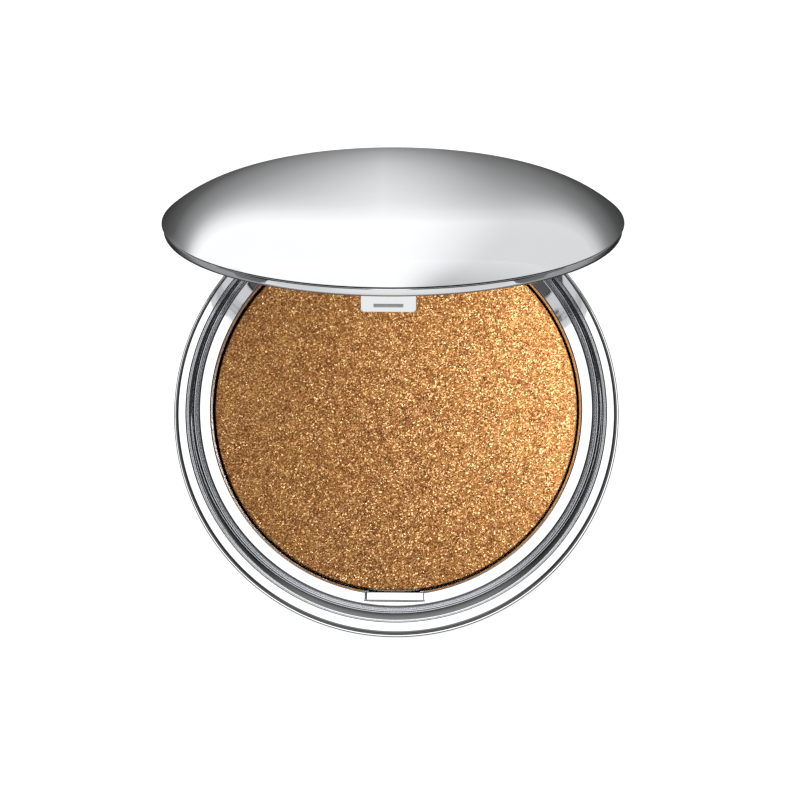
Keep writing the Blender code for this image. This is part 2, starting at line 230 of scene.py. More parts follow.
class CompactStudio(bpy.types.PropertyGroup):
    floor: tint("Floor", "Pale table", "F7F7F7")
    ceiling: bpy.props.FloatProperty(
        name="Ceiling", description="Brightness of the tent overhead", default=1.6, min=0.0
    )
    glow: bpy.props.FloatProperty(
        name="Table glow", description="Light that the opal table gives off", default=0.92, min=0.0
    )
    key_power: watts("Key power", "Small side light on the powder", 0.09)
    fill_power: watts("Fill power", "Weak light above the powder", 0.003)
    card_power: watts("Card power", "Broad front light on the latch and the lid's rim", 3.9)
    lens: bpy.props.FloatProperty(
        name="Lens", description="Focal length", default=229.5, min=1.0, subtype="DISTANCE_CAMERA"
    )
    distance: length("Camera distance", "From the case's shell to the camera", 860)


# ---- mesh tools


def rounded(bm, parts, radius, segments=3, affect="EDGES"):
    """Bevels edges or corners to an arc."""
    bmesh.ops.bevel(
        bm, geom=parts, offset=radius, segments=segments, profile=0.5, affect=affect, material=-1
    )


def turned(corners, steps, fillet_segments=6):
    """A closed shape spun from an outline of (radius, height, fillet) that runs from axis to axis."""
    bm = bmesh.new()
    verts = [bm.verts.new((radius, 0, height)) for radius, height, fillet in corners]
    for pair in zip(verts, verts[1:]):
        bm.edges.new(pair)
    for vert, (radius, height, fillet) in zip(verts, corners):
        if fillet:
            rounded(bm, [vert], fillet, fillet_segments, affect="VERTICES")
    bmesh.ops.spin(
        bm,
        geom=bm.verts[:] + bm.edges[:],
        cent=(0, 0, 0),
        axis=(0, 0, 1),
        angle=2 * pi,
        steps=steps,
        use_merge=True,
    )
    bmesh.ops.remove_doubles(bm, verts=bm.verts, dist=0.0005 * MM)
    bmesh.ops.recalc_face_normals(bm, faces=bm.faces)
    return bm


def shifted(bm, offset):
    bmesh.ops.translate(bm, verts=bm.verts, vec=offset)
    return bm


def block(low, high, rounding=0.0):
    """A box between two corners, with rounded edges."""
    bm = bmesh.new()
    low, high = Vector(low), Vector(high)
    size = Matrix.Diagonal((*(high - low), 1))
    bmesh.ops.create_cube(bm, size=1, matrix=Matrix.Translation((low + high) / 2) @ size)
    if rounding:
        rounded(bm, bm.edges[:], rounding)
    return bm


def rod(radius, start, end, centre, rim=0.0, sides=64):
    """A bar along X about a centre, with rounded rims."""
    bm = bmesh.new()
    middle = Vector(((start + end) / 2, centre.y, centre.z))
    bmesh.ops.create_cone(
        bm,
        cap_ends=True,
        segments=sides,
        radius1=radius,
        radius2=radius,
        depth=end - start,
        matrix=Matrix.Translation(middle) @ Matrix.Rotation(pi / 2, 4, "Y"),
    )
    if rim:
        rims = {edge for face in bm.faces if len(face.verts) == sides for edge in face.edges}
        rounded(bm, list(rims), rim, segments=4)
    return bm


def placed(name, bm):
    """Puts a bmesh in the scene as an object at the origin."""
    mesh = bpy.data.meshes.new(name)
    bm.to_mesh(mesh)
    bm.free()
    obj = bpy.data.objects.new(name, mesh)
    bpy.context.scene.collection.objects.link(obj)
    return obj


def settle(obj):
    """Applies the modifiers."""
    bpy.context.view_layer.update()
    evaluated = obj.evaluated_get(bpy.context.evaluated_depsgraph_get())
    mesh = bpy.data.meshes.new_from_object(evaluated)
    obj.modifiers.clear()
    obj.data = mesh
    mesh.name = obj.name


def carve(obj, tool, operation):
    """Joins a tool shape to a piece, or cuts it away."""
    helper = placed("tool", tool)
    change = obj.modifiers.new("Tool", "BOOLEAN")
    change.operation = operation
    change.solver = "EXACT"
    change.object = helper
    settle(obj)
    bpy.data.objects.remove(helper)


def finish_piece(obj, look, nodes):
    """Shades a piece, dresses it, and lets it stand for its CAD nodes on their body."""
    obj.data.materials.clear()
    obj.data.materials.append(look)
    obj.data.shade_smooth()
    obj.data.set_sharp_from_angle(angle=radians(34))
    flats = obj.modifiers.new("Flats", "WEIGHTED_NORMAL")
    flats.keep_sharp = True
    settle(obj)
    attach(obj, frame["nodes"][nodes[0]]["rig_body"])
    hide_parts(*nodes)


# ---- materials


def add(tree, kind, inputs=None, stops=(), **settings):
    """Adds a node with its settings, sets or links its inputs, and sets a ramp's stops."""
    made = tree.nodes.new(kind)
    for name, value in settings.items():
        setattr(made, name, value)
    for name, value in (inputs or {}).items():
        if isinstance(value, bpy.types.NodeSocket):
            tree.links.new(value, made.inputs[name])
        else:
            made.inputs[name].default_value = value
    for index, (place, colour) in enumerate(stops):
        ramp = made.color_ramp.elements
        stop = ramp[index] if index < 2 else ramp.new(place)
        stop.position = place
        stop.color = (*colour, 1) if isinstance(colour, tuple) else (colour, colour, colour, 1)
    return made


def new_look(name):
    """An empty material, its node tree, and the object coordinates that its patterns read."""
    made = bpy.data.materials.new(name)
    made.use_nodes = True
    made.node_tree.nodes.clear()
    return made, made.node_tree, add(made.node_tree, "ShaderNodeTexCoord").outputs["Object"]


def every(millimetres):
    """Texture scale of a pattern that repeats at this spacing."""
    return 1 / (millimetres * MM)


def chrome_plated_abs(finish):
    """Bright chrome over injection-moulded ABS: a clear mirror, with the moulding's long faint
    waves and a thin film of handling that softens it here and there."""
    look, tree, place = new_look("chrome_plated_moulded_abs")
    film = add(tree, "ShaderNodeTexNoise", {"Vector": place, "Scale": every(9), "Detail": 4.0})
    wiped = add(
        tree, "ShaderNodeMapping", {"Vector": place, "Scale": (1.0, 0.06, 0.06), "Rotation": (0, 0, 0.5)}
    )
    lines = add(
        tree, "ShaderNodeTexNoise", {"Vector": wiped.outputs[0], "Scale": every(0.3), "Detail": 2.0}
    )
    haze = add(tree, "ShaderNodeMath", {0: film.outputs[0], 1: lines.outputs[0]}, operation="MULTIPLY")
    gloss = add(
        tree,
        "ShaderNodeMapRange",
        {"Value": haze.outputs[0], "From Min": 0.12, "From Max": 0.45, "To Min": 0.025, "To Max": 0.085},
    )
    sheen = add(
        tree,
        "ShaderNodeMix",
        {"Factor": film.outputs[0], 6: (*finish.chrome, 1), 7: (*[c * 0.96 for c in finish.chrome], 1)},
        data_type="RGBA",
    )
    waves = add(tree, "ShaderNodeTexNoise", {"Vector": place, "Scale": every(11), "Detail": 1.0})
    bump = add(
        tree,
        "ShaderNodeBump",
        {"Height": waves.outputs[0], "Strength": 0.6, "Distance": 0.01 * MM},
    )
    shader = add(
        tree,
        "ShaderNodeBsdfPrincipled",
        {
            "Base Color": sheen.outputs[2],
            "Metallic": 1.0,
            "Roughness": gloss.outputs[0],
            "Normal": bump.outputs[0],
        },
    )
    add(tree, "ShaderNodeOutputMaterial", {"Surface": shader.outputs[0]})
    return look


def satin_chrome(finish):
    """Satin plating on the moulded tongue: flatter and paler than the case, with soft edges to its
    reflections. The blasting's grain is drawn at 0.2 mm, coarse enough to show."""
    look, tree, place = new_look("satin_plated_moulded_abs")
    grain = add(tree, "ShaderNodeTexNoise", {"Vector": place, "Scale": every(0.2), "Detail": 2.0})
    gloss = add(
        tree,
        "ShaderNodeMapRange",
        {"Value": grain.outputs[0], "To Min": 0.07, "To Max": 0.14},
    )
    bump = add(
        tree,
        "ShaderNodeBump",
        {"Height": grain.outputs[0], "Strength": 0.1, "Distance": 0.01 * MM},
    )
    shader = add(
        tree,
        "ShaderNodeBsdfPrincipled",
        {
            "Base Color": (*finish.satin, 1),
            "Metallic": 1.0,
            "Roughness": gloss.outputs[0],
            "Normal": bump.outputs[0],
        },
    )
    add(tree, "ShaderNodeOutputMaterial", {"Surface": shader.outputs[0]})
    return look


def pressed_mica_powder(powder):
    """Bronze pigment and mica pressed into a pan: matt brown pigment, broken up by flakes that
    each lie at their own tilt and catch the light one by one."""
    look, tree, place = new_look("pressed_mica_powder")
    flakes = add(
        tree, "ShaderNodeTexVoronoi", {"Vector": place, "Scale": every(powder.grain / MM)}
    )
    fine = add(
        tree, "ShaderNodeTexNoise", {"Vector": place, "Scale": every(0.15), "Detail": 2.0}
    )
    patches = add(tree, "ShaderNodeTexNoise", {"Vector": place, "Scale": every(2.2), "Detail": 5.0})
    split = add(tree, "ShaderNodeSeparateColor", {"Color": flakes.outputs["Color"]})
    tone = add(
        tree, "ShaderNodeMix", {"Factor": 0.25, 2: fine.outputs[0], 3: patches.outputs[0]}
    )
    pigment = add(
        tree,
        "ShaderNodeValToRGB",
        {"Fac": tone.outputs[0]},
        stops=[(0.33, tuple(powder.dark)), (0.5, tuple(powder.middle)), (0.68, tuple(powder.light))],
    )
    flake = add(
        tree,
        "ShaderNodeMapRange",
        {"Value": split.outputs[0], "From Min": 0.68, "From Max": 1.0, "To Min": 0.0, "To Max": 0.85},
    )
    colour = add(
        tree,
        "ShaderNodeMix",
        {"Factor": flake.outputs[0], 6: pigment.outputs[0], 7: (*powder.spark, 1)},
        data_type="RGBA",
    )
    tilt = add(
        tree,
        "ShaderNodeVectorMath",
        {0: flakes.outputs["Color"], 1: (0.5, 0.5, 0.5)},
        operation="SUBTRACT",
    )
    surface = add(tree, "ShaderNodeNewGeometry")
    leaned = add(
        tree,
        "ShaderNodeVectorMath",
        {0: tilt.outputs[0], 1: (1.1, 1.1, 1.1), 2: surface.outputs["Normal"]},
        operation="MULTIPLY_ADD",
    )
    facing = add(tree, "ShaderNodeVectorMath", {0: leaned.outputs[0]}, operation="NORMALIZE")
    bump = add(
        tree,
        "ShaderNodeBump",
        {
            "Height": fine.outputs[0],
            "Strength": 0.5,
            "Distance": 0.05 * MM,
            "Normal": facing.outputs[0],
        },
    )
    gloss = add(tree, "ShaderNodeMapRange", {"Value": flake.outputs[0], "To Min": 0.62, "To Max": 0.27})
    metal = add(tree, "ShaderNodeMapRange", {"Value": flake.outputs[0], "To Min": 0.0, "To Max": 0.3})
    shader = add(
        tree,
        "ShaderNodeBsdfPrincipled",
        {
            "Base Color": colour.outputs[2],
            "Metallic": metal.outputs[0],
            "Specular IOR Level": 0.75,
            "Roughness": gloss.outputs[0],
            "Normal": bump.outputs[0],
        },
    )
    add(tree, "ShaderNodeOutputMaterial", {"Surface": shader.outputs[0]})
    return look


def silvered_glass(finish):
    """Float glass silvered on the back: a clean, faintly cool mirror with a few specks of dust."""
    look, tree, place = new_look("silvered_float_glass")
    dust = add(tree, "ShaderNodeTexNoise", {"Vector": place, "Scale": every(1.2), "Detail": 6.0})
    gloss = add(
        tree,
        "ShaderNodeMapRange",
        {"Value": dust.outputs[0], "From Min": 0.62, "From Max": 0.8, "To Min": 0.012, "To Max": 0.12},
    )
    shader = add(
        tree,
        "ShaderNodeBsdfPrincipled",
        {
            "Base Color": (*finish.silver, 1),
            "Metallic": 1.0,
            "Roughness": gloss.outputs[0],
            "Coat Weight": 0.6,
            "Coat Roughness": 0.02,
        },
    )
    add(tree, "ShaderNodeOutputMaterial", {"Surface": shader.outputs[0]})
    return look


def stamped_aluminium(finish):
    """Deep-drawn aluminium: a grey satin sheet with fine rings left by the press."""
    look, tree, place = new_look("stamped_aluminium")
    centred = add(tree, "ShaderNodeMapping", {"Vector": place, "Location": (0, -WELL_OFFSET, 0)})
    rings = add(
        tree,
        "ShaderNodeTexWave",
        {"Vector": centred.outputs[0], "Scale": every(1.2), "Distortion": 2.0, "Detail": 3.0},
        wave_type="RINGS",
        rings_direction="Z",
    )
    gloss = add(
        tree, "ShaderNodeMapRange", {"Value": rings.outputs[0], "To Min": 0.24, "To Max": 0.4}
    )
    bump = add(
        tree,
        "ShaderNodeBump",
        {"Height": rings.outputs[0], "Strength": 0.3, "Distance": 0.01 * MM},
    )
    shader = add(
        tree,
        "ShaderNodeBsdfPrincipled",
        {
            "Base Color": (*finish.pan, 1),
            "Metallic": 1.0,
            "Roughness": gloss.outputs[0],
            "Normal": bump.outputs[0],
        },
    )
    add(tree, "ShaderNodeOutputMaterial", {"Surface": shader.outputs[0]})
    return look


def drawn_steel(finish):
    """Cold-drawn steel wire: fine lines along the pin, drawn at 0.08 mm so that they show."""
    look, tree, place = new_look("cold_drawn_steel")
    along = add(tree, "ShaderNodeMapping", {"Vector": place, "Scale": (0.04, 1.0, 1.0)})
    lines = add(
        tree, "ShaderNodeTexNoise", {"Vector": along.outputs[0], "Scale": every(0.08), "Detail": 3.0}
    )
    gloss = add(
        tree, "ShaderNodeMapRange", {"Value": lines.outputs[0], "To Min": 0.18, "To Max": 0.38}
    )
    bump = add(
        tree,
        "ShaderNodeBump",
        {"Height": lines.outputs[0], "Strength": 0.3, "Distance": 0.01 * MM},
    )
    shader = add(
        tree,
        "ShaderNodeBsdfPrincipled",
        {
            "Base Color": (*finish.steel, 1),
            "Metallic": 1.0,
            "Roughness": gloss.outputs[0],
            "Normal": bump.outputs[0],
        },
    )
    add(tree, "ShaderNodeOutputMaterial", {"Surface": shader.outputs[0]})
    return look


def soft_layer(name, colour, spacing, relief):
    """A glue or film layer: milky, slightly glossy, with the unevenness it sets with."""
    look, tree, place = new_look(name)
    lumps = add(
        tree, "ShaderNodeTexNoise", {"Vector": place, "Scale": every(spacing), "Detail": 3.0}
    )
    shade = add(
        tree,
        "ShaderNodeMix",
        {"Factor": lumps.outputs[0], 6: (*[c * 0.85 for c in colour], 1), 7: (*colour, 1)},
        data_type="RGBA",
    )
    bump = add(
        tree,
        "ShaderNodeBump",
        {"Height": lumps.outputs[0], "Strength": 0.5, "Distance": relief * MM},
    )
    shader = add(
        tree,
        "ShaderNodeBsdfPrincipled",
        {
            "Base Color": shade.outputs[2],
            "Roughness": 0.42,
            "Normal": bump.outputs[0],
        },
    )
    add(tree, "ShaderNodeOutputMaterial", {"Surface": shader.outputs[0]})
    return look


def coated_paper(finish):
    """Blank coated label stock: smooth off-white, with the paper's fibres just showing."""
    look, tree, place = new_look("coated_paper")
    fibres = add(
        tree,
        "ShaderNodeTexNoise",
        {"Vector": place, "Scale": every(0.6), "Detail": 5.0, "Distortion": 1.5},
    )
    shade = add(
        tree,
        "ShaderNodeMix",
        {
            "Factor": fibres.outputs[0],
            6: (*[c * 0.9 for c in finish.paper], 1),
            7: (*finish.paper, 1),
        },
        data_type="RGBA",
    )
    bump = add(
        tree,
        "ShaderNodeBump",
        {"Height": fibres.outputs[0], "Strength": 0.3, "Distance": 0.02 * MM},
    )
    shader = add(
        tree,
        "ShaderNodeBsdfPrincipled",
        {"Base Color": shade.outputs[2], "Roughness": 0.5, "Normal": bump.outputs[0]},
    )
    add(tree, "ShaderNodeOutputMaterial", {"Surface": shader.outputs[0]})
    return look


def look_named(name, make, *settings):
    """The material of that name, made the first time it is asked for."""
    return bpy.data.materials.get(name) or make(*settings)


def chrome(scene):
    return look_named("chrome_plated_moulded_abs", chrome_plated_abs, scene.compact_finish)


# ---- pieces


def crown(radius, height, power, points):
    """The dome's curve, from its middle out to its edge."""
    curve = []
    for step in range(points + 1):
        share = sin(pi / 2 * step / points)
        curve.append((radius * share, CROWN_EDGE + height * (1 - share**power), 0))
    return curve


def shoulder(radius, bottom, points):
    """The base's quarter-ellipse side, from the wall down and in to the foot's radius."""
    top = SHELL_TOP - LAND_HEIGHT
    curve = []
    for step in range(points + 1):
        turn = pi / 2 * step / points
        across = FOOT_RADIUS + (radius - FOOT_RADIUS) * cos(turn)
        curve.append((across, top - (top - bottom) * sin(turn), 0))
    return curve


def build_base_case(scene):
    """The outer bowl, with its foot ring, label recess and two hinge ears."""
    inner = CASE_RADIUS - SHELL_WALL
    recess = LABEL_THICKNESS + SEAT_GAP
    corners = [(0, FOOT_HEIGHT + SHELL_WALL, 0)]
    corners += reversed(shoulder(inner, FOOT_HEIGHT + SHELL_WALL, 20))
    corners += [(inner, SHELL_TOP, 0.12 * MM), (CASE_RADIUS, SHELL_TOP, 0.15 * MM)]
    corners += shoulder(CASE_RADIUS, FOOT_HEIGHT, 24)
    corners += [
        (FOOT_RADIUS, 0, 0.25 * MM),
        (LABEL_RADIUS + SEAT_GAP, 0, 0.25 * MM),
        (LABEL_RADIUS + SEAT_GAP, recess, 0.1 * MM),
        (0, recess, 0),
    ]
    case = placed("base_case", turned(corners, scene.compact_shape.steps))
    for start, end in ((-EAR_END, -EAR_START), (EAR_START, EAR_END)):
        carve(case, rod(KNUCKLE_RADIUS, start, end, HINGE, rim=0.3 * MM), "UNION")
    reach = KNUCKLE_RADIUS + SEAT_GAP
    room = block(
        (-EAR_START, HINGE.y - reach, HINGE.z - reach),
        (EAR_START, HINGE.y + reach, SHELL_TOP + SEAT_GAP),
    )
    carve(case, room, "DIFFERENCE")
    carve(case, rod(PIN_BORE, -EAR_END - SEAT_GAP, EAR_END + SEAT_GAP, HINGE), "DIFFERENCE")
    finish_piece(case, chrome(scene), ["base_shell"])


def build_base_rings(scene):
    """The bright band, groove, raised ring and well in one moulding, with the latch's notch."""
    shape = scene.compact_shape
    floor_bottom = WELL_FLOOR - FRAME_WALL
    under_groove = GROOVE_FLOOR - 0.8 * MM
    corners = [
        (0, WELL_FLOOR, 0),
        (WELL_RADIUS, WELL_FLOOR, WELL_CORNER),
        (WELL_RADIUS, RING_TOP - LIP_DROP, 0.1 * MM),
        (WELL_RADIUS + LIP_WIDTH, RING_TOP, 0.15 * MM),
        (RING_OUTER, RING_TOP, shape.ring_round),
        (RING_OUTER, GROOVE_FLOOR + shape.groove_fall, shape.groove_sweep),
        (GROOVE_OUTER, GROOVE_FLOOR, 0.3 * MM),
        (GROOVE_OUTER, PARTING, 0.3 * MM),
        (FLANGE_RADIUS, PARTING, shape.flange_round),
        (FLANGE_RADIUS, PARTING - FLANGE_THICKNESS, 0.1 * MM),
        (SPIGOT_RADIUS, PARTING - FLANGE_THICKNESS, 0),
        (SPIGOT_RADIUS, under_groove, 0.1 * MM),
        (WELL_RADIUS + FRAME_WALL, under_groove, 0),
        (WELL_RADIUS + FRAME_WALL, floor_bottom, 0.2 * MM),
        (0, floor_bottom, 0),
    ]
    bm = turned(corners, shape.steps)
    for vertex in bm.verts:
        share = (FLANGE_RADIUS - hypot(vertex.co.x, vertex.co.y)) / (FLANGE_RADIUS - RING_OUTER)
        vertex.co.y += WELL_OFFSET * min(max(share, 0), 1)
    rings = placed("base_rings", bm)
    well_front = -(WELL_RADIUS - WELL_OFFSET)
    housing = block(
        (-NOTCH_HALF - FRAME_WALL, NOTCH_WALL - FRAME_WALL, NOTCH_FLOOR - FRAME_WALL),
        (NOTCH_HALF + FRAME_WALL, well_front - SEAT_GAP, GROOVE_FLOOR - SEAT_GAP),
    )
    carve(rings, housing, "UNION")
    notch = block(
        (-NOTCH_HALF, NOTCH_WALL, NOTCH_FLOOR),
        (NOTCH_HALF, well_front + SEAT_GAP, RING_TOP + 2 * MM),
        rounding=0.15 * MM,
    )
    carve(rings, notch, "DIFFERENCE")
    depth, wider, longer = 0.14 * MM, 0.24 * MM, 0.5 * MM
    mouth = block(
        (-NOTCH_HALF, NOTCH_WALL, RING_TOP - depth), (NOTCH_HALF, well_front, RING_TOP + depth)
    )
    for vert in mouth.verts:
        if vert.co.z > RING_TOP:
            vert.co.x *= 1 + wider / NOTCH_HALF
            vert.co.y -= longer if vert.co.y < well_front - depth else 0
    carve(rings, mouth, "DIFFERENCE")
    finish_piece(rings, chrome(scene), ["base_frame"])


def build_powder(scene):
    """The pressed cake: proud of its pan, slightly uneven, with grains that stand in relief."""
    powder = scene.compact_powder
    body_radius = CAKE_HIGH.x
    face_radius = body_radius + powder.overhang
    top, bottom = CAKE_HIGH.z, CAKE_LOW.z
    rings = 150
    edge_round, edge_width, edge_fall = 0.22 * MM, 1.2 * MM, 0.06 * MM
    underside = PAN_HIGH.z + 0.02 * MM
    face = [(face_radius * step / rings, top, 0) for step in range(rings)]
    corners = face + [
        (face_radius, top, edge_round),
        (face_radius, underside, 0),
        (body_radius, underside, 0),
        (body_radius, bottom, 0),
        (0, bottom, 0),
    ]
    bm = turned(corners, POWDER_STEPS, fillet_segments=3)
    for vertex in bm.verts:
        if vertex.co.z < top - edge_round:
            continue
        spot = vertex.co.copy()
        slow = noise.noise(spot * every(7))
        patch = noise.noise(spot * every(1.6))
        grain = noise.noise(spot * every(1.4 * powder.grain / MM))
        vertex.co.z += powder.press_wave * slow * 0.6
        vertex.co.z += powder.grain_height * (0.5 * patch + grain)
        edge = max(0, spot.xy.length - face_radius + edge_width) / edge_width
        vertex.co.z -= edge_fall * edge**2
    cake = placed("powder_cake", shifted(bm, (0, WELL_OFFSET, 0)))
    look = look_named("pressed_mica_powder", pressed_mica_powder, powder)
    finish_piece(cake, look, ["pressed_powder"])


def build_pan(scene):
    """The stamped dish under the powder."""
    wall = 0.35 * MM
    floor = CAKE_LOW.z - SEAT_GAP
    inner = PAN_HIGH.x - wall
    corners = [
        (0, floor, 0),
        (inner, floor, 0.3 * MM),
        (inner, PAN_HIGH.z, 0.12 * MM),
        (PAN_HIGH.x, PAN_HIGH.z, 0.12 * MM),
        (PAN_HIGH.x, PAN_LOW.z, 0.3 * MM),
        (0, PAN_LOW.z, 0),
    ]
    pan = placed("stamped_pan", shifted(turned(corners, PLAIN_STEPS), (0, WELL_OFFSET, 0)))
    look = look_named("stamped_aluminium", stamped_aluminium, scene.compact_finish)
    finish_piece(pan, look, ["powder_pan"])


def build_lid_cover(scene):
    """The domed cover: a thin shell whose lower edge is rolled round."""
    shape = scene.compact_shape
    outer = crown(CASE_RADIUS, shape.crown_height, shape.crown_power, 48)
    inner = crown(COVER_INNER, shape.crown_height - COVER_WALL, shape.crown_power, 24)
    corners = outer[:-1] + [(CASE_RADIUS, CROWN_EDGE, shape.cover_edge)] + inner[::-1]
    bm = turned(corners, shape.steps)
    bmesh.ops.transform(bm, matrix=OPENED, verts=bm.verts)
    finish_piece(placed("lid_cover", bm), chrome(scene), ["lid_shell"])


def build_lid_rim(scene):
    """The inner moulding: rim band, mirror seat, and the arm and knuckle of the hinge."""
    shape = scene.compact_shape

    def under_cover(radius):
        room = (shape.crown_height - COVER_WALL) * (1 - (radius / COVER_INNER) ** shape.crown_power)
        return min(PLATE_TOP, CROWN_EDGE + room - SEAT_GAP)

    haunch = LID_INNER - 2.3 * MM
    corners = [
        (0, PLATE_TOP, 0),
        (haunch, under_cover(haunch), 0),
        (LID_INNER, under_cover(LID_INNER), 0),
        (COVER_INNER - 0.6 * MM, BAND_TOP, 0),
        (FLANGE_RADIUS, BAND_TOP, 0.3 * MM),
        (FLANGE_RADIUS, LID_RIM, shape.band_round),
        (LID_INNER, LID_RIM, 0.3 * MM),
        (LID_INNER, CEILING, 0.3 * MM),
        (MIRROR_SEAT, CEILING, 0.12 * MM),
        (MIRROR_SEAT, BACKING, 0.1 * MM),
        (0, BACKING, 0),
    ]
    rim = placed("lid_rim", turned(corners, shape.steps))
    step = 0.12 * MM
    front = CASE_RADIUS + 0.25 * MM
    back = front + 1.8 * MM
    side = KNUCKLE_HALF - step
    arm = placed("arm", block((-side, front, HINGE.z), (side, back, BAND_TOP - step), 0.4 * MM))
    tie = block(
        (step - side, LID_INNER + SEAT_GAP, LID_RIM + SEAT_GAP),
        (side - step, back - SEAT_GAP, BAND_TOP - 2 * step),
    )
    carve(arm, tie, "UNION")
    knuckle = rod(KNUCKLE_RADIUS, -KNUCKLE_HALF, KNUCKLE_HALF, HINGE, rim=0.2 * MM)
    carve(arm, knuckle, "UNION")
    joined = bmesh.new()
    joined.from_mesh(arm.data)
    bpy.data.objects.remove(arm)
    carve(rim, joined, "UNION")
    bore = rod(PIN_BORE, -KNUCKLE_HALF - SEAT_GAP, KNUCKLE_HALF + SEAT_GAP, HINGE)
    carve(rim, bore, "DIFFERENCE")
    clear = ROOT_CLEARANCE
    socket = block(
        (-TONGUE_HALF - clear, TONGUE_FACE - clear, CEILING - SEAT_GAP),
        (TONGUE_HALF + clear, TONGUE_FACE + TONGUE_THICKNESS + clear, TONGUE_ROOT + clear),
    )
    carve(rim, socket, "DIFFERENCE")
    rim.data.transform(OPENED)
    finish_piece(rim, chrome(scene), ["lid_frame"])


def build_mirror(scene):
    """The round mirror, with a ground edge."""
    corners = [
        (0, CEILING + MIRROR_THICKNESS, 0),
        (MIRROR_RADIUS, CEILING + MIRROR_THICKNESS, 0.1 * MM),
        (MIRROR_RADIUS, CEILING, 0.25 * MM),
        (0, CEILING, 0),
    ]
    bm = turned(corners, PLAIN_STEPS, fillet_segments=1)
    bmesh.ops.transform(bm, matrix=OPENED, verts=bm.verts)
    look = look_named("silvered_float_glass", silvered_glass, scene.compact_finish)
    finish_piece(placed("vanity_mirror", bm), look, ["mirror_glass"])


def build_tongue(scene):
    """The latch tongue: a flat blade with round corners and a snap ridge across its face."""
    shape = scene.compact_shape
    bm = block(
        (-TONGUE_HALF, TONGUE_FACE, TONGUE_TIP),
        (TONGUE_HALF, TONGUE_FACE + TONGUE_THICKNESS, TONGUE_ROOT),
    )
    corner_edges = [
        edge
        for edge in bm.edges
        if abs(edge.verts[0].co.x - edge.verts[1].co.x) < 0.01 * MM
        and max(vert.co.z for vert in edge.verts) < LID_RIM
    ]
    rounded(bm, corner_edges, TONGUE_CORNER, segments=8)
    long_edges = [edge for edge in bm.edges if abs(edge.verts[0].co.y - edge.verts[1].co.y) < 0.01 * MM]
    rounded(bm, long_edges, shape.tongue_round)
    tongue = placed("snap_tongue", bm)
    half = shape.ridge_length / 2
    line = Vector((0, TONGUE_FACE, RIDGE_LINE))
    ridge = rod(shape.ridge_height, -half, half, line, rim=0.02 * MM, sides=4)
    carve(tongue, ridge, "UNION")
    tongue.data.transform(OPENED)
    look = look_named("satin_plated_moulded_abs", satin_chrome, scene.compact_finish)
    finish_piece(tongue, look, ["latch_tongue"])


def build_pin(scene):
    """The hinge pin, with chamfered ends."""
    centre = (PIN_LOW + PIN_HIGH) / 2
    pin = rod((PIN_HIGH.z - PIN_LOW.z) / 2, PIN_LOW.x, PIN_HIGH.x, centre, rim=0.15 * MM, sides=48)
    look = look_named("cold_drawn_steel", drawn_steel, scene.compact_finish)
    finish_piece(placed("hinge_rod", pin), look, ["hinge_pin"])


def build_label(scene):
    """The blank label on the underside."""
    corners = [
        (0, LABEL_THICKNESS, 0),
        (LABEL_RADIUS, LABEL_THICKNESS, 0.05 * MM),
        (LABEL_RADIUS, 0, 0.05 * MM),
        (0, 0, 0),
    ]
    label = placed("underside_label", turned(corners, PLAIN_STEPS, fillet_segments=2))
    look = look_named("coated_paper", coated_paper, scene.compact_finish)
    finish_piece(label, look, ["base_label"])


def dress_layers(scene):
    """Gives the hidden glue spot and the mirror's film, which keep their own shapes, their looks."""
    finish = scene.compact_finish
    glue = look_named("hot_melt_adhesive", soft_layer, "hot_melt_adhesive", finish.glue, 2.5, 0.05)
    film = look_named("acrylic_foam_film", soft_layer, "acrylic_foam_film", finish.film, 0.4, 0.02)
    for node, look in (("pan_adhesive", glue), ("mirror_tape", film)):
        mesh = frame["nodes"][node].data
        mesh.materials.clear()
        mesh.materials.append(look)


# ---- stage


def wide_sheet(name, drop):
    """A level sheet, 8 m wide, that lies this far under the case's foot."""
    bm = bmesh.new()
    bmesh.ops.create_grid(bm, x_segments=1, y_segments=1, size=4.0)
    return placed(name, shifted(bm, (0, 0, -drop)))


def build_floor(studio):
    """A wide table of opal acrylic, lit a little from below, so that shadows on it stay faint."""
    floor = wide_sheet("floor", 0.02 * MM)
    look, tree, place = new_look("opal_acrylic_table")
    fleck = add(tree, "ShaderNodeTexNoise", {"Vector": place, "Scale": every(300), "Detail": 2.0})
    shade = add(
        tree,
        "ShaderNodeMix",
        {"Factor": fleck.outputs[0], 6: (*[c * 0.98 for c in studio.floor], 1), 7: (*studio.floor, 1)},
        data_type="RGBA",
    )
    shader = add(
        tree,
        "ShaderNodeBsdfPrincipled",
        {
            "Base Color": shade.outputs[2],
            "Roughness": 0.9,
            "Specular IOR Level": 0.1,
            "Emission Color": (1, 1, 1, 1),
            "Emission Strength": studio.glow,
        },
    )
    add(tree, "ShaderNodeOutputMaterial", {"Surface": shader.outputs[0]})
    floor.data.materials.append(look)


